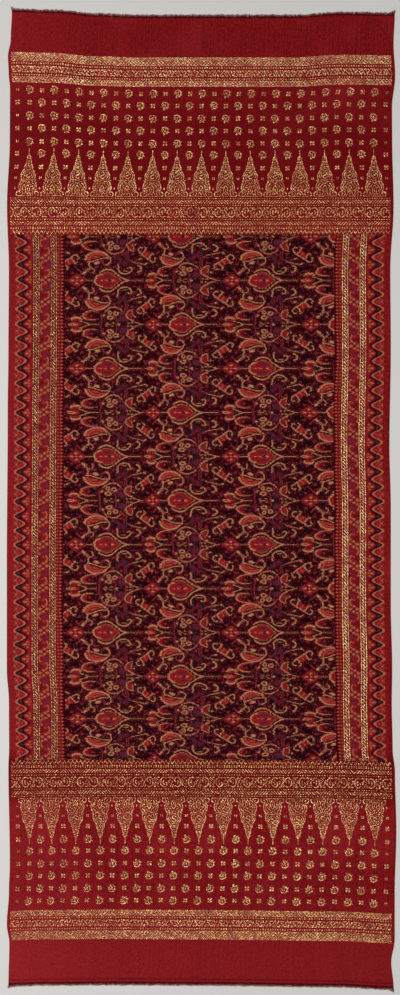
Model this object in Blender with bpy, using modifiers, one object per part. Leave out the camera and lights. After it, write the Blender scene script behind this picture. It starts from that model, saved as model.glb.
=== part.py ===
"""A silk shoulder cloth laid out flat: one woven sheet with a rolled hem at each end, and the frayed warp ends beyond the hems."""

import math
import random

import bmesh
import bpy

# Sizes are in metres. X runs across the loom, Y along the warp towards the head end, Z is up.
# The underside lies on Z = 0 and the origin is the middle of the outline on that surface.
WIDEST = 0.849
CLOTH_LENGTH = 2.1035
HEAD_FOLD_Y = 1.0484

SILK_THICKNESS = 0.0012
BAND_THICKNESS = 0.0016
HEM_THICKNESS = 0.0026
CREASE_THICKNESS = 0.0009
FOLD_THICKNESS = 0.0016
SURFACE_RIPPLE = 0.00010
CENTRE_CREASE_DEPTH = 0.00015
CENTRE_CREASE_WIDTH = 0.012

# Each hem is turned over twice, which makes a strip this wide. The foot hem ends in a crease.
HEAD_HEM = 0.0065
FOOT_HEM = 0.0070

# Distances from the head fold to the edges of the four brocaded bands, which are thicker.
HEAD_NARROW_BAND = (0.087, 0.150)
HEAD_WIDE_BAND = (0.391, 0.474)
FOOT_WIDE_BAND = (1.618, 1.699)
FOOT_NARROW_BAND = (1.945, 2.008)

# How far each selvedge lies inside the widest line, as (distance from the head fold, inset).
# The cloth bulges at the four bands and draws in between them.
LEFT_INSET = (
    (0.000, 0.0110),
    (0.060, 0.0085),
    (0.095, 0.0025),
    (0.130, 0.0040),
    (0.165, 0.0070),
    (0.270, 0.0065),
    (0.410, 0.0005),
    (0.550, 0.0045),
    (0.720, 0.0035),
    (0.860, 0.0020),
    (1.200, 0.0000),
    (1.420, 0.0000),
    (1.490, 0.0045),
    (1.595, 0.0050),
    (1.630, 0.0035),
    (1.840, 0.0065),
    (1.905, 0.0045),
    (1.975, 0.0000),
    (2.015, 0.0055),
    (2.1035, 0.0035),
)
RIGHT_INSET = (
    (0.000, 0.0035),
    (0.060, 0.0060),
    (0.130, 0.0025),
    (0.200, 0.0095),
    (0.270, 0.0090),
    (0.410, 0.0060),
    (0.550, 0.0130),
    (0.720, 0.0120),
    (0.930, 0.0150),
    (1.070, 0.0120),
    (1.280, 0.0120),
    (1.420, 0.0090),
    (1.490, 0.0100),
    (1.590, 0.0080),
    (1.640, 0.0030),
    (1.765, 0.0000),
    (1.905, 0.0035),
    (2.000, 0.0035),
    (2.050, 0.0110),
    (2.1035, 0.0060),
)

# How far the head end stands up and the foot end hangs down, as (share of the width, distance).
# The corners of the cloth are pulled outwards, and this fades along the cloth.
HEAD_RISE = (
    (0.00, 0.0130),
    (0.11, 0.0110),
    (0.22, 0.0030),
    (0.33, 0.0000),
    (0.74, 0.0000),
    (0.86, 0.0060),
    (1.00, 0.0045),
)
FOOT_DROP = (
    (0.00, 0.0020),
    (0.10, 0.0000),
    (0.25, -0.0010),
    (0.50, 0.0000),
    (0.85, 0.0035),
    (1.00, 0.0090),
)
HEAD_PULL_REACH = 0.50
FOOT_PULL_REACH = 0.90

COLUMNS = 32
ROWS_APART = 0.040

# The frayed warp: a strip parted from the hem by a narrow gap, with tapered locks standing out of it.
PARTING = 0.0003
FRAY_THICKNESS = 0.0012
FACES_PER_COLUMN = 8
HEAD_STRIP = 0.0034
FOOT_STRIP = 0.0016
HEAD_LOCK = 0.0044
FOOT_LOCK = 0.0036
LOCK_TIP_SHARE = 0.35
LOCK_TIP_HEIGHT = 0.0005
TUFT_REACH = 0.018
TUFT_LENGTH = 0.0035
TUFT_LEAN = 0.0022
SEED = 7

SILK_RED = (0.19, 0.010, 0.014, 1.0)
FRAY_RED = (0.13, 0.012, 0.014, 1.0)
HEM_RED = (0.24, 0.014, 0.018, 1.0)


def clear_scene():
    for thing in list(bpy.data.objects):
        bpy.data.objects.remove(thing, do_unlink=True)


def material(name, colour, roughness):
    made = bpy.data.materials.new(name)
    made.use_nodes = True
    shader = made.node_tree.nodes["Principled BSDF"]
    shader.inputs["Base Color"].default_value = colour
    shader.inputs["Roughness"].default_value = roughness
    made.diffuse_color = colour
    return made


def eased(stations, at):
    """The value at one distance along the stations, eased from each station to the next."""
    for (near, low), (far, high) in zip(stations, stations[1:]):
        if at <= far:
            share = max(0.0, (at - near) / (far - near))
            return low + (high - low) * (1 - math.cos(math.pi * share)) / 2
    return stations[-1][1]


def fading(distance, reach):
    """One at the fold, easing to nothing at the reach."""
    if distance >= reach:
        return 0.0
    return (1 + math.cos(math.pi * distance / reach)) / 2


def laid(across, along):
    """Where a point of the cloth lies: the share of the width from the left selvedge, and the distance from the head fold."""
    left = -WIDEST / 2 + eased(LEFT_INSET, along)
    right = WIDEST / 2 - eased(RIGHT_INSET, along)
    rise = eased(HEAD_RISE, across) * fading(along, HEAD_PULL_REACH)
    drop = eased(FOOT_DROP, across) * fading(CLOTH_LENGTH - along, FOOT_PULL_REACH)
    return left + (right - left) * across, HEAD_FOLD_Y - along + rise - drop


def thickness(across, along):
    """The height of the upper face over the surface that the cloth lies on."""
    from_foot = CLOTH_LENGTH - along
    head_hem = (
        (0.0, FOLD_THICKNESS),
        (0.0015, HEM_THICKNESS),
        (HEAD_HEM - 0.0015, HEM_THICKNESS),
        (HEAD_HEM + 0.0030, SILK_THICKNESS),
    )
    foot_hem = (
        (0.0, FOLD_THICKNESS),
        (0.0015, HEM_THICKNESS),
        (FOOT_HEM - 0.0015, HEM_THICKNESS),
        (FOOT_HEM, CREASE_THICKNESS),
        (FOOT_HEM + 0.0030, SILK_THICKNESS),
    )
    if along < HEAD_HEM + 0.0030:
        return eased(head_hem, along)
    if from_foot < FOOT_HEM + 0.0030:
        return eased(foot_hem, from_foot)
    height = SILK_THICKNESS
    for start, end in (HEAD_NARROW_BAND, HEAD_WIDE_BAND, FOOT_WIDE_BAND, FOOT_NARROW_BAND):
        if start <= along <= end:
            height = BAND_THICKNESS
    height += SURFACE_RIPPLE * math.sin(23.0 * across + 9.0 * along) * math.sin(7.0 * along)
    from_crease = abs(across - 0.5) * WIDEST / CENTRE_CREASE_WIDTH
    height -= CENTRE_CREASE_DEPTH * math.exp(-from_crease * from_crease)
    return height


def row_distances():
    """The rows of the sheet: close together at the hems and the band edges, and evenly spaced between."""
    rows = {0.0, 0.0015, HEAD_HEM - 0.0015, HEAD_HEM + 0.0030, CLOTH_LENGTH}
    for back in (0.0015, FOOT_HEM - 0.0015, FOOT_HEM, FOOT_HEM + 0.0030):
        rows.add(CLOTH_LENGTH - back)
    for start, end in (HEAD_NARROW_BAND, HEAD_WIDE_BAND, FOOT_WIDE_BAND, FOOT_NARROW_BAND):
        rows.update((start - 0.0015, start, end, end + 0.0015))
    for step in range(1, int(CLOTH_LENGTH / ROWS_APART) + 1):
        along = step * ROWS_APART
        if min(abs(along - row) for row in rows) > ROWS_APART * 0.3:
            rows.add(along)
    return sorted(rows)


def make_cloth(collection):
    rows = row_distances()
    mesh = bpy.data.meshes.new("cloth")
    bm = bmesh.new()
    bmesh.ops.create_grid(bm, x_segments=COLUMNS, y_segments=len(rows) - 1, size=0.5)
    heights = {}
    for vert in bm.verts:
        across = vert.co.x + 0.5
        along = rows[round((0.5 - vert.co.y) * (len(rows) - 1))]
        vert.co.x, vert.co.y = laid(across, along)
        heights[vert.index] = thickness(across, along)
    bm.to_mesh(mesh)
    bm.free()
    cloth = bpy.data.objects.new("cloth", mesh)
    collection.objects.link(cloth)
    group = cloth.vertex_groups.new(name="thickness")
    for index, height in heights.items():
        group.add([index], height / HEM_THICKNESS, "REPLACE")
    solid = cloth.modifiers.new("thickness", "SOLIDIFY")
    solid.thickness = HEM_THICKNESS
    solid.offset = 1.0
    solid.vertex_group = "thickness"
    solid.use_even_offset = False
    mesh.materials.append(material("silk", SILK_RED, 0.42))
    return cloth


def edge_points(along):
    """Points on the hem's edge, on the straight lines between the cloth's own columns."""
    corners = [laid(column / COLUMNS, along) for column in range(COLUMNS + 1)]
    points = []
    for (x0, y0), (x1, y1) in zip(corners, corners[1:]):
        for part in range(FACES_PER_COLUMN):
            share = part / FACES_PER_COLUMN
            points.append((x0 + (x1 - x0) * share, y0 + (y1 - y0) * share))
    points.append(corners[-1])
    return points


def make_fray(name, along, outward, strip, lock, collection, colour):
    points = edge_points(along)
    steps = len(points) - 1
    bm = bmesh.new()
    bmesh.ops.create_grid(bm, x_segments=steps, y_segments=1, size=0.5)
    for vert in bm.verts:
        x, y = points[round((vert.co.x + 0.5) * steps)]
        reach = PARTING if vert.co.y < 0 else PARTING + strip
        vert.co = (x, y + outward * reach, 0.0)
    raised = bmesh.ops.extrude_face_region(bm, geom=bm.faces[:], use_keep_orig=True)["geom"]
    for vert in raised:
        if isinstance(vert, bmesh.types.BMVert):
            vert.co.z = FRAY_THICKNESS
    bmesh.ops.recalc_face_normals(bm, faces=bm.faces)
    outer_wall = [face for face in bm.faces if face.normal.y * outward > 0.7]
    outer_wall.sort(key=lambda face: face.calc_center_median().x)
    chance = random.Random(SEED + round(along * 10))
    tips = bmesh.ops.extrude_discrete_faces(bm, faces=outer_wall[::2])["faces"]
    for tip in sorted(tips, key=lambda face: face.calc_center_median().x):
        middle = tip.calc_center_median().x
        to_side = min(abs(middle - points[0][0]), abs(middle - points[-1][0]))
        tuft = max(0.0, 1 - to_side / TUFT_REACH)
        lean = math.copysign(TUFT_LEAN * tuft, middle) + chance.uniform(-0.0006, 0.0006)
        length = lock * chance.uniform(0.75, 1.1) + TUFT_LENGTH * tuft
        for vert in tip.verts:
            vert.co.x = middle + (vert.co.x - middle) * LOCK_TIP_SHARE + lean
            vert.co.y += outward * length
            vert.co.z = LOCK_TIP_HEIGHT if vert.co.z > FRAY_THICKNESS / 2 else 0.0
    mesh = bpy.data.meshes.new(name)
    bm.to_mesh(mesh)
    bm.free()
    mesh.materials.append(material(name + "_silk", colour, 0.6))
    fray = bpy.data.objects.new(name, mesh)
    collection.objects.link(fray)
    return fray


clear_scene()
ikat_cloth = bpy.data.collections.new("ikat_cloth")
bpy.context.scene.collection.children.link(ikat_cloth)
make_cloth(ikat_cloth)
make_fray("head_fray", 0.0, 1.0, HEAD_STRIP, HEAD_LOCK, ikat_cloth, HEM_RED)
make_fray("foot_fray", CLOTH_LENGTH, -1.0, FOOT_STRIP, FOOT_LOCK, ikat_cloth, FRAY_RED)
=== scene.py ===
import math

import bpy
import numpy as np
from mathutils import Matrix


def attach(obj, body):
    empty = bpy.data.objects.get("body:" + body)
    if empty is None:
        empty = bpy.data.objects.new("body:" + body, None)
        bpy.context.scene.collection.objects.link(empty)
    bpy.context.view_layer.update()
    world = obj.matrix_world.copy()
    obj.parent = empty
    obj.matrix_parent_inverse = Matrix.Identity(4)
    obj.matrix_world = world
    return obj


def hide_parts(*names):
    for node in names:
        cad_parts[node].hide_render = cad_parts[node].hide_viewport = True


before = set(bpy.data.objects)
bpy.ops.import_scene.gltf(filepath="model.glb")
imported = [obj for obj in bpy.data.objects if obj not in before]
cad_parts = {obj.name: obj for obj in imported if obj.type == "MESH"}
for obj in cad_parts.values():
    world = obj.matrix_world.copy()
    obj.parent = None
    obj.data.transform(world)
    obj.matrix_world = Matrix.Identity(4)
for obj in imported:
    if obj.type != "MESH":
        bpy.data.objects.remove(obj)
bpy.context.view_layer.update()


# The silk sheet. One loom width of fine red silk with its warp along its length, woven in one
# piece: a plain end, the ikat middle and a plain end. It lies flat, its selvedges bulging where
# the gold bands are, and a narrow hem is turned over twice at each end.

# Sizes are in metres: across runs from the middle of the loom, along runs from the head fold.
LOOM_WIDTH = 0.835
WIDEST = 0.849
CLOTH_LENGTH = 2.1035
HEAD_FOLD_Y = 1.0484
MIDDLE_START = 0.473
MIDDLE_END = 1.618

# How far each selvedge lies inside the widest line, as (distance from the head fold, inset).
LEFT_INSET = (
    (0.000, 0.0110), (0.060, 0.0085), (0.095, 0.0025), (0.130, 0.0040), (0.165, 0.0070),
    (0.270, 0.0065), (0.410, 0.0005), (0.550, 0.0045), (0.720, 0.0035), (0.860, 0.0020),
    (1.200, 0.0000), (1.420, 0.0000), (1.490, 0.0045), (1.595, 0.0050), (1.630, 0.0035),
    (1.840, 0.0065), (1.905, 0.0045), (1.975, 0.0000), (2.015, 0.0055), (2.1035, 0.0035),
)
RIGHT_INSET = (
    (0.000, 0.0035), (0.060, 0.0060), (0.130, 0.0025), (0.200, 0.0095), (0.270, 0.0090),
    (0.410, 0.0060), (0.550, 0.0130), (0.720, 0.0120), (0.930, 0.0150), (1.070, 0.0120),
    (1.280, 0.0120), (1.420, 0.0090), (1.490, 0.0100), (1.590, 0.0080), (1.640, 0.0030),
    (1.765, 0.0000), (1.905, 0.0035), (2.000, 0.0035), (2.050, 0.0110), (2.1035, 0.0060),
)

# How far the head end stands up and the foot end hangs down, as (share of the width, distance).
HEAD_RISE = (
    (0.00, 0.0130), (0.11, 0.0110), (0.22, 0.0030), (0.33, 0.0000), (0.74, 0.0000),
    (0.86, 0.0060), (1.00, 0.0045),
)
FOOT_DROP = (
    (0.00, 0.0020), (0.10, 0.0000), (0.25, -0.0010), (0.50, 0.0000), (0.85, 0.0035),
    (1.00, 0.0090),
)
HEAD_PULL_REACH = 0.50
FOOT_PULL_REACH = 0.90

# Heights of the upper face over the table, as (distance from the fold, height). A hem's mesh has
# rows of its own.
HEAD_HEM = (
    (0.0000, 0.0012), (0.0010, 0.0023), (0.0050, 0.0025), (0.0095, 0.0012),
)
FOOT_HEM = (
    (0.0000, 0.0010), (0.0010, 0.0023), (0.0055, 0.0025), (0.0070, 0.0007), (0.0100, 0.0012),
)
HEAD_HEM_ROWS = (0.0004, 0.001, 0.003, 0.005, 0.0065, 0.0095)
FOOT_HEM_ROWS = (0.0004, 0.001, 0.003, 0.0055, 0.0063, 0.007, 0.0078, 0.010)
SELVEDGE_COLUMNS = (0.0, 0.0004, 0.0012, 0.0025, 0.005)
MESH_STEP = 0.008
LEAST_STEP = 0.002
BAKE_MARGIN = 0.01
SILK_HEIGHT = 0.0012
SELVEDGE_HEIGHT = 0.0006
SELVEDGE_ROUNDING = 0.0025
COCKLE = 0.00014
FINE_COCKLE = 0.00012

# The faint crease down the middle, and where one lies beside the foot hem. Both also get painted shade in the
# silk's colour.
CREASE_DEPTH = 0.0003
CREASE_WIDTH = 0.004
FOOT_CREASE = 0.0078

# Where the silk is darker along the cloth: among the head's motifs, and under the foot's wide band, where the
# shade is painted.
HEAD_MOTIFS_MIDDLE = 0.29
FOOT_BAND_MIDDLE = 1.655


def eased(stations, at):
    """Values along (place, value) stations, eased from each station to the next."""
    places, values = np.array(stations).T
    first = np.clip(np.searchsorted(places, at, side="right") - 1, 0, len(places) - 2)
    share = np.clip((at - places[first]) / (places[first + 1] - places[first]), 0, 1)
    step = values[first + 1] - values[first]
    return values[first] + step * (1 - np.cos(np.pi * share)) / 2


def fading(distance, reach):
    return (1 + np.cos(np.pi * np.clip(distance / reach, 0, 1))) / 2


def silk_height(across, along):
    """The upper face: raised at the hems, thinner at the selvedges, and gently cockled between."""
    height = np.full(np.shape(across), SILK_HEIGHT)
    height += COCKLE * np.sin(31 * across + 5.5 * along) * np.sin(9.1 * along + 4 * across)
    height += FINE_COCKLE * np.sin(97 * across - 3 * along + 1.3) * np.sin(17 * along)
    height -= CREASE_DEPTH * np.exp(-((across / CREASE_WIDTH) ** 2))
    height = np.where(along < HEAD_HEM[-1][0], eased(HEAD_HEM, along), height)
    from_foot = CLOTH_LENGTH - along
    height = np.where(from_foot < FOOT_HEM[-1][0], eased(FOOT_HEM, from_foot), height)
    to_selvedge = LOOM_WIDTH / 2 - np.abs(across)
    rounding = np.sqrt(np.clip(to_selvedge / SELVEDGE_ROUNDING, 0, 1))
    return SELVEDGE_HEIGHT + (height - SELVEDGE_HEIGHT) * rounding


def laid(across, along):
    """Where points of the cloth lie on the table, seen from above."""
    share = across / LOOM_WIDTH + 0.5
    left = -WIDEST / 2 + eased(LEFT_INSET, along)
    right = WIDEST / 2 - eased(RIGHT_INSET, along)
    rise = eased(HEAD_RISE, share) * fading(along, HEAD_PULL_REACH)
    drop = eased(FOOT_DROP, share) * fading(CLOTH_LENGTH - along, FOOT_PULL_REACH)
    return left + (right - left) * share, HEAD_FOLD_Y - along + rise - drop


def mesh_from(name, corners, faces, maps):
    """A mesh of four-sided faces, with each map's places given corner by corner."""
    mesh = bpy.data.meshes.new(name)
    mesh.vertices.add(len(corners))
    mesh.vertices.foreach_set("co", np.asarray(corners, np.float32).ravel())
    mesh.loops.add(faces.size)
    mesh.loops.foreach_set("vertex_index", faces.ravel().astype(np.int32))
    mesh.polygons.add(len(faces))
    mesh.polygons.foreach_set("loop_start", np.arange(0, faces.size, 4, dtype=np.int32))
    mesh.polygons.foreach_set("use_smooth", np.ones(len(faces), bool))
    for map_name, places in maps.items():
        layer = mesh.uv_layers.new(name=map_name)
        layer.data.foreach_set("uv", np.asarray(places, np.float32)[faces.ravel()].ravel())
    mesh.update(calc_edges=True)
    mesh.validate()
    piece = bpy.data.objects.new(name, mesh)
    bpy.context.scene.collection.objects.link(piece)
    return piece


def woven_sheet(name, start, end, marks):
    """A length of the cloth as a closed sheet, flat below, with its face as it lies."""
    edge = LOOM_WIDTH / 2
    near_edge = np.array(SELVEDGE_COLUMNS)
    columns = set(np.concatenate([-edge + near_edge, edge - near_edge]).round(5))
    columns |= {round(sign * mark, 5) for mark in marks for sign in (-1, 1)}
    spaced = np.arange(-edge + 0.010, edge - 0.009, MESH_STEP).round(5)
    columns |= {
        place for place in spaced if min(abs(place - other) for other in columns) > LEAST_STEP
    }
    rows = set(np.linspace(start, end, int((end - start) / MESH_STEP) + 1).round(5))
    if start == 0:
        rows |= set(HEAD_HEM_ROWS)
    if end == CLOTH_LENGTH:
        rows |= {round(end - back, 5) for back in FOOT_HEM_ROWS}
    columns = np.array(sorted(columns))
    rows = np.array(sorted(rows))
    across, along = np.meshgrid(columns, rows)
    x, y = laid(across, along)
    top = np.stack([x, y, silk_height(across, along)], -1).reshape(-1, 3)
    bottom = top * (1, 1, 0)
    index = np.arange(across.size).reshape(across.shape)
    a, b, c, d = index[:-1, :-1], index[:-1, 1:], index[1:, 1:], index[1:, :-1]
    upper = np.stack([a, d, c, b], -1).reshape(-1, 4)
    lower = np.stack([a, b, c, d], -1).reshape(-1, 4) + across.size
    around = np.concatenate([index[0, :-1], index[:-1, -1], index[-1, :0:-1], index[:0:-1, 0]])
    after = np.roll(around, -1)
    rim = np.stack([around, after, after + across.size, around + across.size], -1)
    loom = np.stack([across, along], -1).reshape(-1, 2)
    flat = np.stack([across / LOOM_WIDTH + 0.5, (along - start) / (end - start)], -1).reshape(-1, 2)
    flat = BAKE_MARGIN + (1 - 2 * BAKE_MARGIN) * flat
    faces = np.concatenate([upper, lower, rim])
    piece = mesh_from(
        name,
        np.concatenate([top, bottom]),
        faces,
        {"loom": np.concatenate([loom, loom]), "OFBake": np.concatenate([flat, flat])},
    )
    return piece, loom[faces % across.size].mean(axis=1)


# Threads of the weave, from one rib to the next, and how far the ribs stand up.
WARP_SPACING = 0.00052
WEFT_SPACING = 0.00064
RIB_DEPTH = 0.00006


def dye(red, green, blue):
    """A colour as it looks on screen, out of 255, in the renderer's own scale."""
    shades = np.array([red, green, blue]) / 255
    return (*np.where(shades > 0.04045, ((shades + 0.055) / 1.055) ** 2.4, shades / 12.92), 1.0)


class Amount:
    """A number that differs from place to place on the cloth. It adds up as plain numbers do."""

    def __init__(self, finish, socket):
        self.finish = finish
        self.socket = socket

    def __add__(self, other):
        return self.finish.sum("ADD", self, other)

    def __sub__(self, other):
        return self.finish.sum("SUBTRACT", self, other)

    def __rsub__(self, other):
        return self.finish.sum("SUBTRACT", other, self)

    def __mul__(self, other):
        return self.finish.sum("MULTIPLY", self, other)

    def __truediv__(self, other):
        return self.finish.sum("DIVIDE", self, other)

    def __floordiv__(self, other):
        return self.finish.sum("FLOOR", self / other)

    def __mod__(self, other):
        return self.finish.sum("FLOORED_MODULO", self, other)

    def __pow__(self, other):
        return self.finish.sum("POWER", self, other)

    def __neg__(self):
        return self * -1.0

    def __abs__(self):
        return self.finish.sum("ABSOLUTE", self)


class Finish:
    """A finish drawn with nodes. Its places are the loom map's, across and along the cloth."""

    def __init__(self, name):
        self.material = bpy.data.materials.new(name)
        self.material.use_nodes = True
        self.nodes = self.material.node_tree.nodes
        self.links = self.material.node_tree.links
        self.nodes.clear()
        self.shader = self.nodes.new("ShaderNodeBsdfPrincipled")
        end = self.nodes.new("ShaderNodeOutputMaterial")
        self.links.new(self.shader.outputs[0], end.inputs[0])
        loom = self.nodes.new("ShaderNodeUVMap")
        loom.uv_map = "loom"
        split = self.nodes.new("ShaderNodeSeparateXYZ")
        self.links.new(loom.outputs[0], split.inputs[0])
        self.loom = loom.outputs[0]
        self.across = Amount(self, split.outputs[0])
        self.along = Amount(self, split.outputs[1])

    def feed(self, socket, value):
        if isinstance(value, Amount):
            value = value.socket
        if isinstance(value, bpy.types.NodeSocket):
            self.links.new(value, socket)
        else:
            socket.default_value = value

    def sum(self, operation, *values, clamp=False):
        node = self.nodes.new("ShaderNodeMath")
        node.operation = operation
        node.use_clamp = clamp
        for socket, value in zip(node.inputs, values):
            self.feed(socket, value)
        return Amount(self, node.outputs[0])

    def scaled(self, amount, by, plus):
        """An amount times another, plus a third."""
        return self.sum("MULTIPLY_ADD", amount, by, plus)

    def vector(self, operation, *values):
        node = self.nodes.new("ShaderNodeVectorMath")
        node.operation = operation
        for socket, value in zip(node.inputs, values):
            self.feed(socket, value)
        if operation in ("LENGTH", "DOT_PRODUCT"):
            return Amount(self, node.outputs["Value"])
        return node.outputs["Vector"]

    def place(self, x, y, z=0.0):
        node = self.nodes.new("ShaderNodeCombineXYZ")
        for socket, value in zip(node.inputs, (x, y, z)):
            self.feed(socket, value)
        return node.outputs[0]

    def chance(self, row):
        """A number from 0 to 1 that is the same all along one row."""
        node = self.nodes.new("ShaderNodeTexWhiteNoise")
        node.noise_dimensions = "1D"
        self.feed(node.inputs["W"], row)
        return Amount(self, node.outputs["Value"])

    def profile(self, value, points):
        """A height read off a drawn curve through (place, height) points."""
        low, high = points[0][0], points[-1][0]
        tallest = max(height for _, height in points)
        node = self.nodes.new("ShaderNodeFloatCurve")
        curve = node.mapping.curves[0]
        while len(curve.points) < len(points):
            curve.points.new(0.5, 0.5)
        for knot, (place, height) in zip(curve.points, points):
            knot.location = ((place - low) / (high - low), height / tallest)
        node.mapping.update()
        self.feed(node.inputs["Value"], self.ramp(value, low, high))
        return Amount(self, node.outputs[0]) * tallest

    def cloud(self, x_scale, y_scale, detail=2.0, roughness=0.5):
        """Smooth noise from 0 to 1, with its own scale across and along the cloth."""
        at = self.vector("MULTIPLY", self.loom, (x_scale, y_scale, 1.0))
        node = self.nodes.new("ShaderNodeTexNoise")
        node.noise_dimensions = "2D"
        self.links.new(at, node.inputs["Vector"])
        node.inputs["Scale"].default_value = 1.0
        node.inputs["Detail"].default_value = detail
        node.inputs["Roughness"].default_value = roughness
        return Amount(self, node.outputs["Fac"])

    def ramp(self, value, low, high, start=0.0, end=1.0):
        node = self.nodes.new("ShaderNodeMapRange")
        self.feed(node.inputs["Value"], value)
        node.inputs["From Min"].default_value = low
        node.inputs["From Max"].default_value = high
        node.inputs["To Min"].default_value = start
        node.inputs["To Max"].default_value = end
        return Amount(self, node.outputs["Result"])

    def blend(self, share, under, over):
        node = self.nodes.new("ShaderNodeMix")
        node.data_type = "RGBA"
        self.feed(node.inputs["Factor"], share)
        self.feed(node.inputs[6], under)
        self.feed(node.inputs[7], over)
        return node.outputs[2]

    def mottled(self, under, over, cloud, low, high, most=1.0):
        """Lays one colour over another where a cloud of noise is thick."""
        return self.blend(self.ramp(self.cloud(*cloud), low, high, 0.0, most), under, over)

    def bump(self, height, strength, distance):
        node = self.nodes.new("ShaderNodeBump")
        node.inputs["Strength"].default_value = strength
        node.inputs["Distance"].default_value = distance
        self.feed(node.inputs["Height"], height)
        self.links.new(node.outputs[0], self.shader.inputs["Normal"])

    def weave_bump(self):
        """The ribs of the weave, two threads to the millimetre each way, and the cloth's slubs."""
        ribs = self.sum("SINE", self.across * (2 * math.pi / WARP_SPACING))
        picks = self.sum("SINE", self.along * (2 * math.pi / WEFT_SPACING))
        slubs = self.cloud(90, 1900, 1.0)
        self.bump(self.scaled(slubs, 2.0, ribs * picks), 0.25, RIB_DEPTH)

    def silk_gloss(self, colour, roughness=0.55):
        """The soft lustre of silk. The slubs vary it, and a thin sheen lifts the shallow angles."""
        self.feed(self.shader.inputs["Base Color"], colour)
        gloss = self.ramp(self.cloud(40, 700), 0.3, 0.7, roughness - 0.06, roughness + 0.08)
        self.feed(self.shader.inputs["Roughness"], gloss)
        self.shader.inputs["Specular IOR Level"].default_value = 0.012
        self.shader.inputs["Sheen Weight"].default_value = 0.004
        self.shader.inputs["Sheen Roughness"].default_value = 0.4
        self.shader.inputs["Sheen Tint"].default_value = dye(214, 120, 120)


def red_silk_colour(finish):
    """Red dyed in the yarn: fine streaks both ways, paler at the left and towards the foot, deeper
    among the head's motifs, with painted shade under the foot's wide band, in the creases and at the foot's
    edge."""
    deep = dye(92, 6, 9)
    mid = dye(116, 11, 15)
    pale = dye(154, 38, 43)
    colour = finish.mottled(deep, mid, (240, 3.0, 4.0, 0.7), 0.41, 0.60)
    # Paler towards the left and towards the foot.
    paler_at_left_and_foot = finish.ramp(finish.across, -0.42, -0.20, 0.34, 0.06)
    paler_at_left_and_foot = paler_at_left_and_foot + finish.ramp(finish.along, 1.90, 2.05, 0.0, 0.30)
    clouds = finish.ramp(finish.cloud(8, 7, 3.0, 0.6), 0.44, 0.74, 0.0, 0.4)
    colour = finish.blend(finish.sum("MAXIMUM", paler_at_left_and_foot, clouds), colour, pale)
    colour = finish.mottled(colour, pale, (360, 150, 3.0, 0.8), 0.46, 0.74, 0.85)
    colour = finish.mottled(colour, deep, (40, 900, 2.0, 0.6), 0.50, 0.80, 0.6)
    # Painted shade of the gold weft on the silk under the foot's wide band.
    from_foot_band = abs(finish.along - FOOT_BAND_MIDDLE)
    colour = finish.blend(finish.ramp(from_foot_band, 0.038, 0.062, 0.7, 0.0), colour, deep)
    colour = finish.mottled(colour, deep, (230, 230, 1.0, 0.5), 0.69, 0.75, 0.6)
    from_motifs = abs(finish.along - HEAD_MOTIFS_MIDDLE)
    colour = finish.blend(finish.ramp(from_motifs, 0.05, 0.17, 0.6, 0.0), colour, deep)
    # Painted shade along the middle crease; below it come the silk's own darker blotches, painted shade in
    # the foot hem's crease and painted shadow at the foot's outer edge.
    dark = finish.ramp(abs(finish.across), 0.0, 0.0035, 0.22, 0.0)
    from_foot = CLOTH_LENGTH - finish.along
    for shade in (
        finish.ramp(finish.cloud(150, 150, 3.0, 0.7), 0.64, 0.78, 0.0, 0.5),
        # painted shade in the crease beside the foot hem
        finish.ramp(abs(from_foot - FOOT_CREASE), 0.0006, 0.0024, 0.4, 0.0),
        # painted shadow along the foot's outer edge, under the rolled hem
        finish.ramp(from_foot, 0.0012, 0.0032, 0.75, 0.0),
    ):
        dark = finish.sum("MAXIMUM", dark, shade)
    # One dark red is used for both the blotches and the painted shade.
    return finish.blend(dark, colour, dye(58, 4, 9))


def red_silk():
    finish = Finish("red_silk")
    finish.silk_gloss(red_silk_colour(finish))
    finish.weave_bump()
    return finish.material


plain_silk = red_silk()
head_end, _ = woven_sheet("head_end", 0.0, MIDDLE_START, ())
head_end.data.materials.append(plain_silk)
foot_end, _ = woven_sheet("foot_end", MIDDLE_END, CLOTH_LENGTH, ())
foot_end.data.materials.append(plain_silk)


# The ikat middle. Before weaving, the silk weft is tied in bundles and dyed, so that the pattern
# is in the yarn and shows on both faces, its edges feathered where the picks slip past each
# other. Teardrops, paisleys and vines fill the field, with a zigzag vine down each side.

# Ikat sizes are in bundles, which are the smallest step that the dyer can tie.
BUNDLE = 0.00218
HALF_LOOM = LOOM_WIDTH / 2 / BUNDLE

# Where the side borders end, counted inwards from the selvedge.
SELVEDGE_END = 6.6
ZIGZAG_END = 24.0
OUTER_STRIPE_END = 31.6
FLOWER_STRIP_END = 41.8
INNER_STRIPE_END = 49.2
COMB_END = 56.4

# The repeat of the field: half-dropped columns, each one mirrored about its teardrops' axes.
COLUMN_PITCH = 77.5
HALF_DROP = 44.0
FIRST_COLUMN = -12.3
FIRST_AXIS = 306.7
COLUMN_SWAY = 1.8
CELL_LEFT = 44.0

# Where the weft was beaten closer, or the warp crowded, as (from, to, bundles gained by then).
FIELD_PACKING = (670.0, 744.0, 4.2)
ZIGZAG_PACKING = (500.0, 728.0, 9.0)
FLOWER_PACKING = (560.0, 728.0, 5.6)
RIGHT_CROWDING = (96.0, 130.0, -5.2)

# Each row of bundles is dyed as one, so shapes step from row to row. Their edges are feathered.
ROW = 0.9
PICK = 0.00062
PICK_SLIP = 0.5
ROW_SLIP = 1.4
BORDER_ROW_SLIP = 0.4
SWAY = 3.6
FEATHER = 0.6

GROUND = dye(42, 0, 3)
GROUND_BLACK = dye(23, 1, 6)
OCHRE = dye(162, 92, 66)
OCHRE_PALE = dye(208, 136, 100)
RED = dye(130, 14, 22)
RED_DEEP = dye(102, 10, 18)
MAUVE = dye(130, 42, 52)
INDIGO = dye(46, 34, 50)
SOOT = dye(36, 18, 12)


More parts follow.
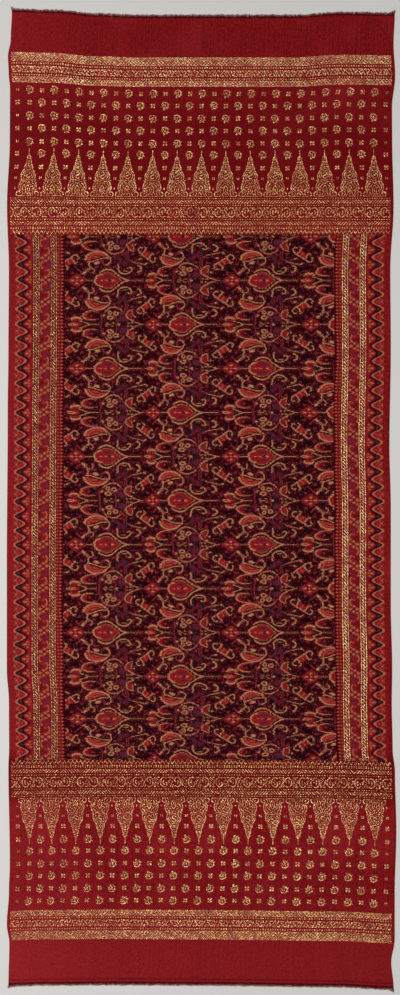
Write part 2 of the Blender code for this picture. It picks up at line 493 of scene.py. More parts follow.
class Ikat(Finish):
    """A dyed pattern. Shapes are distances in bundles, less than nothing inside the shape."""

    def __init__(self, name, row_slip):
        super().__init__(name)
        self.shapes = {}
        row = self.along / BUNDLE // ROW
        slip = self.scaled(self.chance(self.along // PICK), PICK_SLIP, -PICK_SLIP / 2)
        slip = self.scaled(self.chance(row), row_slip, slip - row_slip / 2)
        slip = self.scaled(self.cloud(7.0, 9.0, 1.0), SWAY, slip - SWAY / 2)
        self.u = self.across / BUNDLE + slip
        self.v = self.scaled(row, ROW, ROW / 2)

    def at(self, x, y):
        """Sets the place that the shapes are measured from. Its third number is always one."""
        self.spot = self.place(x, y, 1.0)

    def packed(self, place, start, end, gained):
        """A count of bundles, with those gained where the yarn lies closer."""
        return place + self.ramp(place, start, end, 0.0, gained)

    def seen_from(self, centre, turn=0.0, size=(1.0, 1.0)):
        """The place as seen from a centre, turned, and as shares of a size."""
        lean, rise = math.cos(math.radians(turn)), math.sin(math.radians(turn))
        seen = []
        for way, share in (((lean, rise), size[0]), ((-rise, lean), size[1])):
            shift = -(way[0] * centre[0] + way[1] * centre[1])
            part = (way[0] / share, way[1] / share, shift / share)
            seen.append(self.vector("DOT_PRODUCT", self.spot, part))
        return seen

    def oval(self, centre, size, turn=0.0):
        if turn:
            seen = self.place(*self.seen_from(centre, turn, size))
        else:
            shift = (-centre[0] / size[0], -centre[1] / size[1], 0.0)
            seen = self.vector("MULTIPLY_ADD", self.spot, (1 / size[0], 1 / size[1], 0.0), shift)
        return self.scaled(self.vector("LENGTH", seen), min(size), -min(size))

    def line_of(self, shape, half_width):
        return abs(shape) - half_width

    def ring(self, centre, size, half_width, turn=0.0):
        return self.line_of(self.oval(centre, size, turn), half_width)

    def arc(self, centre, size, half_width, facing, cut=0.0):
        """The part of a ring that faces one way, counted from across towards along, in degrees."""
        facing = math.radians(facing)
        way = (math.cos(facing), math.sin(facing))
        shift = cut * min(size) + way[0] * centre[0] + way[1] * centre[1]
        behind = self.vector("DOT_PRODUCT", self.spot, (-way[0], -way[1], shift))
        return self.sum("MAXIMUM", self.ring(centre, size, half_width), behind)

    def block(self, seen, half_length, half_width):
        over = abs(seen[0]) - half_length
        beside = abs(seen[1]) - half_width
        return self.sum("MAXIMUM", over, beside)

    def bar(self, start, end, half_width):
        """A straight stroke with square ends."""
        centre = ((start[0] + end[0]) / 2, (start[1] + end[1]) / 2)
        turn = math.degrees(math.atan2(end[1] - start[1], end[0] - start[0]))
        return self.block(self.seen_from(centre, turn), math.dist(start, end) / 2, half_width)

    def both(self, first, second):
        return self.sum("MAXIMUM", first, second)

    def without(self, first, second):
        return self.sum("MAXIMUM", first, -second)

    def dyed(self, colour, *shapes):
        """Adds shapes to all that takes one colour."""
        for shape in shapes:
            held = self.shapes.get(colour)
            self.shapes[colour] = shape if held is None else self.sum("MINIMUM", held, shape)

    def ovals(self, colour, *ovals):
        """Dyes ovals, each given by its centre, its half sizes and its turn."""
        self.dyed(colour, *(self.oval(*oval) for oval in ovals))

    def bars(self, colour, *bars):
        """Dyes bars, each given by its two ends and its half width."""
        self.dyed(colour, *(self.bar(*bar) for bar in bars))

    def arcs(self, colour, *arcs):
        """Dyes arcs, each given by its centre, half sizes, half width, facing and cut."""
        self.dyed(colour, *(self.arc(*arc) for arc in arcs))

    def coloured(self, under, order):
        """Lays the dyes over the ground in their order, each with a ragged, feathered edge."""
        grain = self.scaled(self.cloud(620, 900, 0.0), 1.7 / FEATHER, 0.5 - 0.85 / FEATHER)
        colour = under
        for name, pair in order:
            share = self.sum("MULTIPLY_ADD", self.shapes[name], -1.0 / FEATHER, grain, clamp=True)
            colour = self.blend(share, colour, pair)
        return colour

    def picks(self, colour, strength):
        """Each pick takes the dye a little differently, so fine streaks run along the weft."""
        colour = self.mottled(colour, dye(22, 4, 10), (70, 1500, 2.0, 0.6), 0.42, 0.80, strength)
        return self.mottled(colour, dye(190, 110, 90), (55, 1100, 2.0, 0.6), 0.62, 0.85, strength * 0.4)


# Half of the teardrop's height along its axis, as (place, height).
TEARDROP = (
    (-18.0, 5.0), (-13.0, 8.4), (-9.0, 10.8), (-4.6, 11.9), (-0.6, 11.2), (4.0, 7.9),
    (9.0, 4.3), (12.5, 2.3), (18.0, 0.5),
)


def ikat_field():
    ikat = Ikat("ikat_field", ROW_SLIP)
    across = ikat.u - FIRST_COLUMN
    sway = ikat.sum("COSINE", across * (math.pi / COLUMN_PITCH))
    across = ikat.scaled(sway, COLUMN_SWAY, across)
    start, end, gained = RIGHT_CROWDING
    across = across + ikat.ramp(ikat.u, start, end, 0.0, gained)
    column = (across + CELL_LEFT) // COLUMN_PITCH
    x = ikat.scaled(column, -COLUMN_PITCH, across)
    odd = column % 2.0
    drop = ikat.scaled(odd, -HALF_DROP, ikat.packed(ikat.v, *FIELD_PACKING) - FIRST_AXIS)
    y = ikat.sum("PINGPONG", drop, HALF_DROP)
    ikat.at(x, y)
    far = HALF_DROP

    # The teardrop, pointing right: an ochre outline over a sooty line, a cap behind it, and a red
    # heart with its dabs.
    flank = ikat.profile(x, TEARDROP)
    outside = (y - flank) * 0.8
    behind = -9.4 - x
    outline = ikat.both(ikat.line_of(outside + 0.7, 0.7), behind - 3.2)
    ikat.dyed("ochre", ikat.both(outline, x - 18.0))
    ikat.dyed("soot", ikat.both(ikat.line_of(outside + 2.0, 0.5), behind))
    ikat.dyed("red", ikat.both(outside + 2.5, behind))
    cap = ikat.oval((-9.4, 0.0), (7.2, 6.0))
    ikat.dyed("red", cap)
    ikat.dyed("ochre", ikat.both(ikat.line_of(cap, 0.75), -behind))
    ikat.dyed("ochre", ikat.both(ikat.line_of(outside + 2.9, 0.25), behind))
    ikat.ovals("indigo", ((-3.6, 4.1), (3.9, 0.95), -6.0))
    ikat.ovals("ochre", ((-10.2, 0.0), (1.3, 0.5)), ((-5.4, 0.0), (1.4, 0.5)), ((1.0, 0.0), (2.0, 0.9)))
    ikat.ovals("soot", ((-1.6, 0.0), (1.2, 1.1)))

    # The stem to a red bead, and behind the teardrop a diamond rosette of four petals.
    ikat.bars("ochre", ((16.5, 0.0), (31.5, 0.0), 0.38), ((-25.0, 0.0), (-16.5, 0.0), 0.38))
    ikat.ovals("red", ((33.1, 0.0), (1.5, 1.6)))
    over, beside = ikat.seen_from((-33.4, 0.0), 0.0, (8.6, 6.4))
    diamond = ikat.scaled(abs(over) + abs(beside), 5.2, -5.2)
    ikat.dyed("red", diamond)
    ikat.dyed("mauve", ikat.line_of(diamond, 0.45))
    ikat.ovals("ochre", ((-37.6, 0.0), (1.8, 0.8)), ((-29.2, 0.0), (1.8, 0.8)))
    ikat.ovals("ochre", ((-33.4, 3.0), (1.5, 0.9)), ((-33.4, 0.0), (0.8, 0.6)))
    ikat.ovals("soot", ((-35.4, 1.5), (0.9, 0.7)), ((-31.4, 1.5), (0.9, 0.7)))

    # The fleur: three petals on the far axis, with a chevron and a line behind them.
    ikat.ovals("red", ((-35.6, far), (5.6, 2.4)), ((-34.4, far - 4.6), (3.6, 1.5)))
    ikat.dyed("ochre", ikat.ring((-38.4, far), (2.6, 1.0), 0.4))
    ikat.ovals("ochre", ((-35.4, far), (2.0, 0.6)))
    petal = ikat.oval((-34.4, far - 5.3), (5.2, 2.6))
    ikat.dyed("ochre", ikat.without(petal, ikat.oval((-34.4, far - 4.1), (3.9, 1.9))))
    ikat.bars("ochre", ((-31.4, far - 3.6), (-22.8, far - 0.3), 0.6), ((-23.2, far), (-13.6, far), 0.35))
    ikat.bars("soot", ((-30.6, far - 2.2), (-26.0, far - 0.5), 0.6))

    # The leaf that curls round beside the fleur, red inside its ochre edge.
    outer = ikat.oval((-19.6, 34.6), (9.6, 5.0), -6.0)
    hollow = ikat.oval((-15.4, 34.4), (8.8, 4.2), -6.0)
    leaf_end = -12.6
    leaf = ikat.without(ikat.both(outer, x - leaf_end), hollow)
    ikat.dyed("red", leaf)
    ikat.dyed("ochre", ikat.both(leaf, -0.85 - outer))
    ikat.ovals("mauve", ((-15.2, 31.0), (1.5, 1.1)), ((-20.6, 35.2), (1.2, 0.8)))

    # The round vine, its grapes, and the red buds beside them in indigo.
    vine = ikat.ring((2.2, far), (13.6, 17.4), 0.4)
    ikat.dyed("mauve", vine)
    ikat.dyed("ochre", ikat.both(vine, y - 31.0))
    for grape, half_size in (((-2.1, 37.1), 2.5), ((-2.4, 32.0), 1.6), ((3.9, 33.0), 2.1)):
        ikat.dyed("ochre", ikat.ring(grape, (half_size, 1.6), 0.62))
    ikat.arcs("mauve", ((-0.6, 40.4), (5.6, 5.8), 0.4, -20.0, 0.3))
    ikat.bars("mauve", ((-11.4, 33.4), (-10.6, 38.0), 0.45))
    ikat.ovals("ochre", ((-8.4, 35.0), (1.3, 1.1), 30.0))
    ikat.bars("ochre", ((-7.4, far), (-1.0, far), 0.35))
    ikat.ovals("ochre", ((6.4, far), (1.5, 1.1)))
    ikat.ovals("ochre", ((-5.4, far - 1.5), (1.2, 0.5)), ((0.6, far - 1.5), (1.2, 0.5)))
    ikat.ovals("indigo", ((10.9, 38.2), (4.4, 3.2)))
    ikat.ovals("crimson", ((9.8, 37.2), (1.8, 1.4)), ((12.1, 38.7), (1.8, 1.5)))

    # The half-moon leaf and its tail, which runs into the next rosette.
    moon = ikat.oval((22.6, 34.6), (7.6, 5.2))
    ikat.dyed("red", ikat.both(moon + 0.9, x - 20.8))
    ikat.dyed("ochre", ikat.both(ikat.line_of(moon, 0.5), x - 22.6))
    ikat.bars("ochre", ((21.9, 30.6), (21.4, 36.4), 0.5), ((17.4, 38.2), (23.4, 41.8), 0.5))
    ikat.bars("ochre", ((23.2, 41.6), (29.6, 43.4), 0.45), ((28.0, far), (34.5, far), 0.38))
    ikat.ovals(
        "ochre",
        ((24.4, 36.0), (1.1, 0.9), 20.0),
        ((17.0, far - 1.6), (0.9, 0.6)),
        ((20.4, far - 1.6), (1.2, 0.6)),
    )

    # The paisley: red stripes under an ochre arch, its tail curled back, on a booted stem.
    arch = ikat.oval((-14.2, 20.8), (12.2, 8.8))
    wave = ikat.sum("SINE", ikat.scaled(x, 0.27, 0.9)) * 0.9
    sole = ikat.scaled(x, 0.15, 24.4) - (y + wave)
    body = ikat.both(arch, sole)
    ikat.dyed("red", body)
    ikat.dyed("ochre", ikat.both(body, -1.5 - arch))
    ikat.dyed("pink", ikat.both(ikat.line_of(arch + 3.1, 0.28), sole))
    ikat.ovals("pink", ((-15.6, 23.4), (2.4, 0.4), 8.0))
    ikat.dyed("soot", ikat.both(ikat.line_of(sole - 0.4, 0.42), abs(x + 12.0) - 8.4))
    ikat.dyed("ochre", ikat.both(ikat.line_of(sole - 1.5, 0.65), abs(x + 13.6) - 10.2))
    ikat.arcs("ochre", ((-5.2, 20.0), (3.9, 4.2), 0.65, 0.0, -0.1))
    ikat.ovals("ochre", ((-14.4, 17.6), (2.9, 1.5), 14.0))
    ikat.arcs("mauve", ((-5.2, 19.6), (3.9, 4.4), 0.45, -110.0, 0.2))
    ikat.ovals("mauve", ((-6.6, 15.6), (1.2, 0.9)))
    ikat.bars("ochre", ((-21.9, 19.4), (-21.9, 12.6), 0.7), ((-20.8, 13.2), (-28.0, 6.4), 1.15))
    ikat.bars("soot", ((-21.2, 12.6), (-25.2, 8.9), 0.4))
    ikat.arcs("ochre", ((-20.4, 9.8), (2.9, 2.6), 0.45, 20.0, 0.0))
    ikat.bars("mauve", ((-28.2, 6.6), (-33.4, 11.8), 0.5))
    ikat.ovals("mauve", ((-18.8, 7.6), (0.9, 0.6)))

    # The hooked leaf and the small curl on the teardrop's shoulder.
    ikat.arcs("ochre", ((13.4, 12.4), (7.1, 5.7), 0.7, -90.0, 0.0))
    ikat.bars("ochre", ((6.7, 11.8), (6.3, 16.4), 0.75))
    ikat.arcs("ochre", ((18.4, 11.2), (2.1, 1.8), 0.55, 60.0, -0.2))
    ikat.ovals("ochre", ((13.6, 9.2), (3.4, 0.4)))
    ikat.arcs("soot", ((13.4, 12.4), (6.0, 4.5), 0.35, -90.0, 0.35))
    ikat.arcs("ochre", ((26.6, 11.6), (3.9, 3.2), 0.7, 0.0, -0.1))

    # The red tulip with its indigo edges, its stalk, and a sprig of thin leaves.
    ikat.ovals("indigo", ((8.4, 17.6), (2.0, 1.9)), ((15.6, 18.2), (1.6, 2.6)), ((6.6, 22.4), (2.6, 1.8)))
    ikat.ovals("crimson", ((8.4, 20.7), (2.3, 1.3), -14.0), ((12.5, 17.6), (1.5, 2.9), 14.0))
    ikat.bars("mauve", ((14.2, 20.8), (14.2, 29.6), 0.4), ((16.3, 22.6), (16.3, 29.6), 0.4))
    ikat.bars("ochre", ((20.6, 18.9), (33.2, 16.2), 0.4))
    ikat.ovals("ochre", ((35.4, 17.2), (2.3, 0.9), 24.0))
    ikat.bars("mauve", ((16.0, 21.4), (21.0, 19.2), 0.5), ((24.6, 20.4), (30.0, 22.2), 0.35))
    ikat.ovals("ochre", ((29.8, 21.6), (1.7, 0.8), 12.0), ((-41.8, 27.6), (2.2, 0.8), -30.0))

    # The knot, a red block between two clasps with hooked ends. The repeat's edge crosses it.
    for centre, turn in (((-41.2, 18.4), 35.0), ((36.3, 25.6), -35.0)):
        over, beside = ikat.seen_from(centre, turn)
        beside = beside * (1.0 if turn < 0 else -1.0)
        far_out = abs(over)
        ikat.dyed("red", ikat.block((over, beside - 0.6), 3.7, 2.6))
        ikat.dyed("ochre", ikat.block((over, beside + 2.5), 9.0, 0.6))
        from_hook = ikat.vector("LENGTH", ikat.place(far_out - 8.4, beside))
        ikat.dyed("ochre", ikat.both(ikat.line_of(from_hook - 2.5, 0.6), 8.0 - far_out))
        clasp = far_out - 4.4
        ikat.dyed("ochre", ikat.block((clasp, beside - 1.4), 0.65, 3.9))
        ikat.dyed("ochre", ikat.block((clasp - 1.2, beside - 4.9), 1.4, 0.55))
        ikat.dyed("pink", ikat.block((over, beside - 0.6), 0.35, 1.9))

    # Small mauve blossoms scattered over the ground.
    for spot in (
        (-29.4, 28.6), (-29.0, 16.0), (-37.8, 7.4), (-15.8, 13.2), (2.2, 23.7), (2.0, 13.3),
        (10.7, 25.9), (9.3, 32.7), (22.7, 12.2), (21.1, 26.4), (-36.0, 35.4), (-42.2, 38.2),
    ):
        ikat.ovals("blossom", (spot, (1.45, 1.15)))
    for spot in (
        (28.8, 6.8), (40.0, 14.0), (-3.0, 14.2), (-27.0, 11.0),
        (29.4, 28.6), (23.6, 5.6), (-38.0, 22.4),
    ):
        ikat.ovals("blossom", (spot, (0.9, 0.7)))

    # The ground is blotched from maroon to near black, and mauve specks fringe every motif.
    ground = ikat.mottled(GROUND, GROUND_BLACK, (75, 45, 3.0, 0.7), 0.45, 0.57)
    near = ikat.line_of(ikat.shapes["ochre"] - 1.7, 0.8)
    beads = ikat.sum("SINE", ikat.u * (math.pi / 1.3))
    beads = beads * ikat.sum("SINE", ikat.v * (math.pi / ROW))
    beads = ikat.scaled(ikat.cloud(420, 420, 0.0), 2.4, beads - 2.05)
    beads = beads - ikat.sum("MAXIMUM", near * 1.6, 0.0)
    ground = ikat.blend(ikat.ramp(beads, 0.0, 0.4, 0.0, 0.9), ground, MAUVE)
    ground = ikat.mottled(ground, MAUVE, (240, 240, 0.0), 0.74, 0.78, 0.8)
    ikat.shapes["ochre"] = ikat.shapes["ochre"] + 0.16
    ochre = ikat.mottled(OCHRE, OCHRE_PALE, (500, 500, 1.0), 0.35, 0.65)
    red = ikat.mottled(RED, RED_DEEP, (330, 500, 1.0), 0.50, 0.64, 0.8)
    red = ikat.mottled(red, dye(176, 80, 76), (700, 700, 0.0), 0.66, 0.72, 0.35)
    colour = ikat.coloured(
        ground,
        (
            ("mauve", MAUVE),
            ("blossom", dye(118, 32, 44)),
            ("red", red),
            ("indigo", INDIGO),
            ("pink", dye(166, 80, 66)),
            ("ochre", ochre),
            ("crimson", dye(112, 14, 28)),
            ("soot", SOOT),
        ),
    )
    ikat.silk_gloss(ikat.picks(colour, 0.22))
    ikat.weave_bump()
    return ikat.material


def side_border(name, draw):
    """A border finish, the same from both selvedges. Its across runs inwards from the selvedge."""
    ikat = Ikat(name, BORDER_ROW_SLIP)
    ikat.inwards = HALF_LOOM - abs(ikat.u)
    colour = draw(ikat)
    ikat.silk_gloss(ikat.picks(colour, 0.16))
    ikat.weave_bump()
    return ikat.material


def zigzag_border(ikat):
    """A dark zigzag vine with an ochre edge, red lobes outside it and beads inside its bends."""
    bend = 7.4
    first_bend = 224.7
    fold = ikat.sum("PINGPONG", ikat.packed(ikat.v, *ZIGZAG_PACKING) - first_bend, bend)
    ikat.at(ikat.inwards, fold)
    share = ikat.ramp(fold, 0.0, bend)
    share.socket.node.interpolation_type = "SMOOTHSTEP"
    beside = ikat.inwards - ikat.scaled(share, -8.5, 20.4)
    in_bend = share ** 3.5
    half = ikat.scaled(share, 2.1, 1.1)
    ikat.dyed("soot", abs(beside) - half)
    hump = (1.0 - share) ** 3.0
    edge = ikat.scaled(in_bend, 1.0, ikat.scaled(hump, 0.5, 0.85))
    ikat.dyed("ochre", abs(beside + (half + edge)) - edge)
    ikat.ovals("ochre", ((18.6, bend), (1.8, 1.0)), ((21.2, 4.7), (1.0, 0.8)), ((22.0, bend), (0.8, 0.6)))
    ikat.ovals("slate", ((12.4, bend), (1.3, 1.1)))
    ikat.ovals("ochre", ((9.0, 0.0), (1.0, 0.8)), ((11.6, 4.2), (1.6, 0.5), 30.0))
    ikat.ovals("blossom", ((10.6, 1.9), (0.7, 0.6)), ((7.6, 1.6), (0.7, 0.6)), ((12.8, 0.0), (0.8, 0.6)))
    ground = ikat.mottled(dye(118, 13, 19), dye(134, 22, 31), (110, 60, 3.0, 0.6), 0.40, 0.62)
    return ikat.coloured(ground, (
        ("blossom", dye(150, 62, 54)),
        ("ochre", OCHRE),
        ("soot", dye(50, 6, 16)),
        ("slate", dye(66, 40, 44)),
    ))


def flower_strip(ikat):
    """Four-petalled flowers with crossed stamens, and dabs of indigo and soot between them."""
    every = 22.0
    first_flower = 240.2
    turn = (ikat.packed(ikat.v, *FLOWER_PACKING) + (-first_flower + every / 2)) % every
    ikat.at(ikat.inwards, turn - every / 2)
    middle = 36.8
    ikat.ovals("ochre", ((middle - 3.3, 0.0), (2.0, 1.25)), ((middle + 3.3, 0.0), (2.0, 1.25)))
    ikat.ovals("ochre", ((middle, -2.5), (1.5, 1.2)), ((middle, 2.5), (1.5, 1.2)))
    ikat.bars(
        "soot",
        ((middle - 1.9, -1.5), (middle + 1.9, 1.5), 0.4),
        ((middle - 1.9, 1.5), (middle + 1.9, -1.5), 0.4),
    )
    ikat.ovals(
        "indigo",
        ((38.6, 8.2), (2.2, 0.8)),
        ((39.9, 6.6), (0.7, 1.7)),
        ((37.4, 11.6), (2.6, 0.5), 38.0),
    )
    ikat.ovals("dark", ((33.8, -7.0), (1.9, 0.9), 40.0), ((32.6, -5.4), (0.8, 1.1)))
    ikat.arcs(
        "ochre",
        ((38.4, -7.2), (2.2, 3.2), 0.5, 0.0, 0.1),
        ((34.0, 7.0), (2.2, 3.2), 0.5, 180.0, 0.1),
    )
    ikat.ovals("blossom", ((34.4, 4.4), (0.9, 0.7)), ((40.4, -4.2), (0.9, 0.7)), ((36.8, -9.4), (0.9, 0.7)))
    ground = ikat.mottled(dye(114, 11, 18), dye(130, 19, 28), (140, 90, 2.0, 0.6), 0.42, 0.62)
    return ikat.coloured(ground, (
        ("blossom", dye(150, 66, 56)),
        ("indigo", dye(66, 44, 62)),
        ("dark", dye(52, 26, 26)),
        ("ochre", OCHRE),
        ("soot", dye(60, 16, 26)),
    ))


def comb_border(ikat):
    """Two rows of dots, the inner ones drawn out into teeth against the dark field."""
    fold = ikat.sum("PINGPONG", ikat.along / BUNDLE, 1.7)
    ikat.at(ikat.inwards, fold)
    ikat.ovals("ochre", ((50.2, 0.0), (0.6, 0.45)), ((53.5, 0.0), (0.8, 0.6)))
    teeth = ikat.scaled(fold, -2.0, 56.6)
    ikat.dyed("ground", -(ikat.inwards - teeth))
    return ikat.coloured(dye(112, 14, 20), (("ground", GROUND), ("ochre", OCHRE)))


def stripe_ground(ikat):
    """The maroon weft that carries the gold stripes."""
    return ikat.mottled(dye(82, 20, 18), dye(110, 28, 28), (300, 30, 2.0), 0.4, 0.6)


BORDERS = (
    ("selvedge", SELVEDGE_END, red_silk_colour),
    ("zigzag_border", ZIGZAG_END, zigzag_border),
    ("outer_stripe_ground", OUTER_STRIPE_END, stripe_ground),
    ("flower_strip", FLOWER_STRIP_END, flower_strip),
    ("inner_stripe_ground", INNER_STRIPE_END, stripe_ground),
    ("comb_border", COMB_END, comb_border),
)
edges = [(HALF_LOOM - end) * BUNDLE for _, end, _ in BORDERS]
ikat_middle, face_places = woven_sheet("ikat_middle", MIDDLE_START, MIDDLE_END, edges)
for border, _, draw in BORDERS:
    ikat_middle.data.materials.append(side_border(border, draw))
ikat_middle.data.materials.append(ikat_field())
region = np.searchsorted([end for _, end, _ in BORDERS], HALF_LOOM - np.abs(face_places[:, 0]) / BUNDLE)
ikat_middle.data.polygons.foreach_set("material_index", region.astype(np.int32))

for piece, length in (
    (head_end, MIDDLE_START),
    (ikat_middle, MIDDLE_END - MIDDLE_START),
    (foot_end, CLOTH_LENGTH - MIDDLE_END),
):
    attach(piece, "root")
    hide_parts("cloth")


# The gold brocade. Gilt thread is laid in by hand as extra weft, passing over three or four warps
# and under one, from a chart of picks and warps. The two ends carry a narrow band, scattered
# paisleys and rosettes, a row of spires and a wide band, and four stripes run down the sides.

# Charts are true where gold shows. One square is one pick deep and one thread wide.
SQUARE = 0.00088
CHART_WIDTH = 934
FLOAT_LENGTH = 4
SPIRE_PITCH = 60
SPIRE_COUNT = 15
LINE_STEPS = 40
CURVE_STEPS = 10


def smooth(points):
    """Points along the smooth curve through the points given."""
    points = np.array(points, float)
    if len(points) == 2:
        return points[0] + np.linspace(0, 1, LINE_STEPS)[:, None] * (points[1] - points[0])
    before = np.concatenate([points[:1], points[:-2]])
    after = np.concatenate([points[2:], points[-1:]])
    t = np.linspace(0, 1, CURVE_STEPS)[:, None]
    pieces = []
    for p0, p1, p2, p3 in zip(before, points[:-1], points[1:], after):
        bend = 2 * p0 - 5 * p1 + 4 * p2 - p3
        twist = 3 * p1 - p0 - 3 * p2 + p3
        pieces.append(0.5 * (2 * p1 + (p2 - p0) * t + bend * t**2 + twist * t**3))
    return np.concatenate(pieces)


def drawn(rows, columns, strokes, mirrored=False):
    """A chart of strokes, each a width and its points. A point is given in threads right of the
    chart's middle column and picks down from its top."""
    chart = np.zeros((rows, columns), bool)
    row, column = np.mgrid[:rows, :columns] + 0.5
    for width, points in strokes:
        for sign in (1, -1) if mirrored else (1,):
            curve = smooth(points)
            x = columns / 2 + sign * curve[:, 0]
            reach = np.hypot(column[..., None] - x, row[..., None] - curve[:, 1]).min(axis=-1)
            chart |= reach <= width / 2
    return chart


# A paisley curls round its drop, with a leaf where it opens and small spikes outside.
PAISLEY = drawn(21, 20, (
    (2.9, [(1.0, 17.4), (5.0, 15.2), (7.0, 11.0), (6.2, 6.4), (2.8, 3.0), (-2.0, 1.9), (-5.8, 3.4)]),
    (2.0, [(-7.6, 6.4), (-7.2, 10.6), (-4.6, 13.4)]),
    (2.7, [(0.8, 12.2), (-0.4, 9.8), (0.6, 7.4)]),
    (1.8, [(-3.8, 9.8), (-3.6, 7.2)]),
    (2.8, [(-4.0, 17.4), (-1.8, 15.6)]),
    (1.6, [(-4.6, 19.8), (-1.4, 20.0)]),
    (1.6, [(8.0, 7.2), (9.6, 6.0)]),
    (1.6, [(8.0, 13.4), (9.6, 14.2)]),
    (1.6, [(4.6, 17.8), (5.6, 19.0)]),
    (1.6, [(-8.4, 12.4), (-9.6, 13.2)]),
))
PETALS = ((4.3, [(3.1, 2.8), (3.1, 3.2)]), (4.3, [(3.1, 8.8), (3.1, 9.2)]))
ROSETTE = drawn(12, 12, PETALS, mirrored=True) | drawn(12, 12, ((1.5, [(-0.8, 5.2), (0.8, 6.8)]),))
SQUARES = ((3.8, [(3.0, 2.6), (3.0, 9.4)]), (1.4, [(-1.0, 6.0), (1.0, 6.0)]))
SQUARE_ROSETTE = drawn(12, 12, SQUARES, mirrored=True)
SEPALS = ((2.4, [(1.9, 2.0), (1.9, 2.6)]), (2.4, [(1.9, 5.4), (1.9, 6.0)]))
BUD = drawn(8, 8, SEPALS, mirrored=True)
SPECK = drawn(6, 5, ((2.6, [(0.0, 1.6), (0.0, 4.4)]),))


# One spire stands on the wide band: a base with curled feet, three lobes filled with scrolls, a
# bud and a stem. Half of it is drawn and mirrored, apart from an S-shaped curl in its middle.
SPIRE_HEIGHT = 115
SPIRE_WIDTH = 56


def from_base(points):
    """Turns picks up from the spire's base into picks down from its top."""
    return [(x, SPIRE_HEIGHT - 1 - y) for x, y in points]


SPIRE = drawn(SPIRE_HEIGHT, SPIRE_WIDTH, [(width, from_base(points)) for width, points in (
    (1.0, [(0.0, 0.6), (26.0, 0.6)]),
    (2.8, [(26.4, 1.8), (27.4, 6.0), (24.6, 10.0)]),
    (1.9, [(24.4, 10.6), (19.6, 11.0), (17.4, 7.6), (20.0, 4.6)]),
    (1.65, [(14.0, 2.6), (11.0, 6.6), (13.0, 11.0)]),
    (1.65, [(7.8, 3.0), (5.4, 8.0)]),
    (2.4, [(17.0, 13.0), (21.2, 17.4), (21.2, 25.0), (19.0, 32.0), (15.4, 36.6)]),
    (1.9, [(13.6, 14.6), (16.8, 20.6), (15.4, 28.0), (10.4, 32.4)]),
    (1.65, [(9.6, 12.4), (12.4, 18.0), (11.8, 23.8), (8.0, 27.0)]),
    (1.65, [(8.4, 20.4), (7.6, 23.0)]),
    (1.9, [(0.0, 5.0), (4.0, 10.4), (5.0, 17.0), (2.8, 23.4), (0.0, 27.0)]),
    (3.0, [(0.0, 12.4), (0.0, 18.0)]),
    (1.65, [(5.8, 28.6), (4.4, 32.0)]),
    (1.65, [(17.2, 37.0), (19.8, 39.2)]),
    (1.65, [(0.0, 31.0), (3.4, 35.0), (9.6, 36.4), (12.6, 34.4)]),
    (1.65, [(0.0, 38.2), (5.6, 40.6), (12.0, 39.6)]),
    (2.4, [(15.2, 40.4), (17.0, 45.6), (16.4, 53.6), (13.4, 59.6), (9.6, 64.4)]),
    (1.9, [(10.4, 44.2), (12.8, 49.6), (11.4, 55.6), (7.0, 60.2)]),
    (1.65, [(7.6, 47.6), (8.4, 52.0), (6.8, 55.6)]),
    (1.65, [(0.0, 61.6), (3.0, 63.6), (6.0, 64.0)]),
    (2.4, [(9.4, 66.0), (9.4, 70.6), (7.6, 75.6), (5.0, 79.2)]),
    (1.65, [(5.2, 67.2), (5.8, 71.0), (4.2, 75.0)]),
    (1.65, [(0.0, 67.2), (2.0, 70.6), (0.0, 74.6)]),
    (1.65, [(0.0, 77.6), (2.6, 79.4)]),
    (2.1, [(5.8, 80.8), (6.0, 84.4), (4.4, 87.8)]),
    (1.65, [(2.2, 82.4), (2.2, 85.4)]),
    (2.1, [(3.2, 89.4), (4.4, 92.6), (2.6, 96.4), (0.0, 98.4)]),
    (1.5, [(0.0, 90.0), (0.0, 114.0)]),
)], mirrored=True)
SPIRE_CURL = (
    (4.4, 46.6), (0.6, 43.6), (-3.8, 46.4), (-2.8, 50.6),
    (2.2, 52.6), (4.0, 56.4), (0.6, 59.6), (-3.2, 57.4),
)
SPIRE |= drawn(SPIRE_HEIGHT, SPIRE_WIDTH, ((2.5, from_base(SPIRE_CURL)),))


def stamp(chart, motif, row, column):
    """Lays a motif on a chart with its middle at the place given."""
    top = int(round(row - motif.shape[0] / 2))
    left = int(round(column - motif.shape[1] / 2))
    rows = slice(max(top, 0), min(top + motif.shape[0], chart.shape[0]))
    columns = slice(max(left, 0), min(left + motif.shape[1], chart.shape[1]))
    chart[rows, columns] |= motif[rows.start - top:rows.stop - top, columns.start - left:columns.stop - left]


def repeated(motif):
    """A motif repeated across the whole chart, from its middle outwards."""
    copies = CHART_WIDTH // motif.shape[1] + 2
    row = np.tile(motif, (1, copies))
    start = (row.shape[1] - CHART_WIDTH) // 2
    return row[:, start:start + CHART_WIDTH]


def plain(rows):
    return np.zeros((rows, CHART_WIDTH), bool)


def solid(rows):
    return np.ones((rows, CHART_WIDTH), bool)


def dots(rows):
    return np.tile(np.arange(CHART_WIDTH) % 6 < 3, (rows, 1))


def zigzag(rows, pitch, line, reach):
    """A zigzag line that rises and falls by its reach."""
    row, column = np.mgrid[:rows, :CHART_WIDTH]
    height = np.abs(column % pitch - pitch / 2) / (pitch / 2) * reach
    return np.abs(row - height - (line - 1) / 2) <= line / 2


def slanted(rows, every, line, turn):
    """Slanting lines, which lean the other way after each turn."""
    row, column = np.mgrid[:rows, :CHART_WIDTH]
    return np.where(column // turn % 2, column + row, column - row) % every < line


def lattice(rows, every, line=2):
    """Lines slanting both ways, so that small diamonds of silk are left between them."""
    row, column = np.mgrid[:rows, :CHART_WIDTH]
    return ((column + row) % every < line) | ((column - row) % every < line)


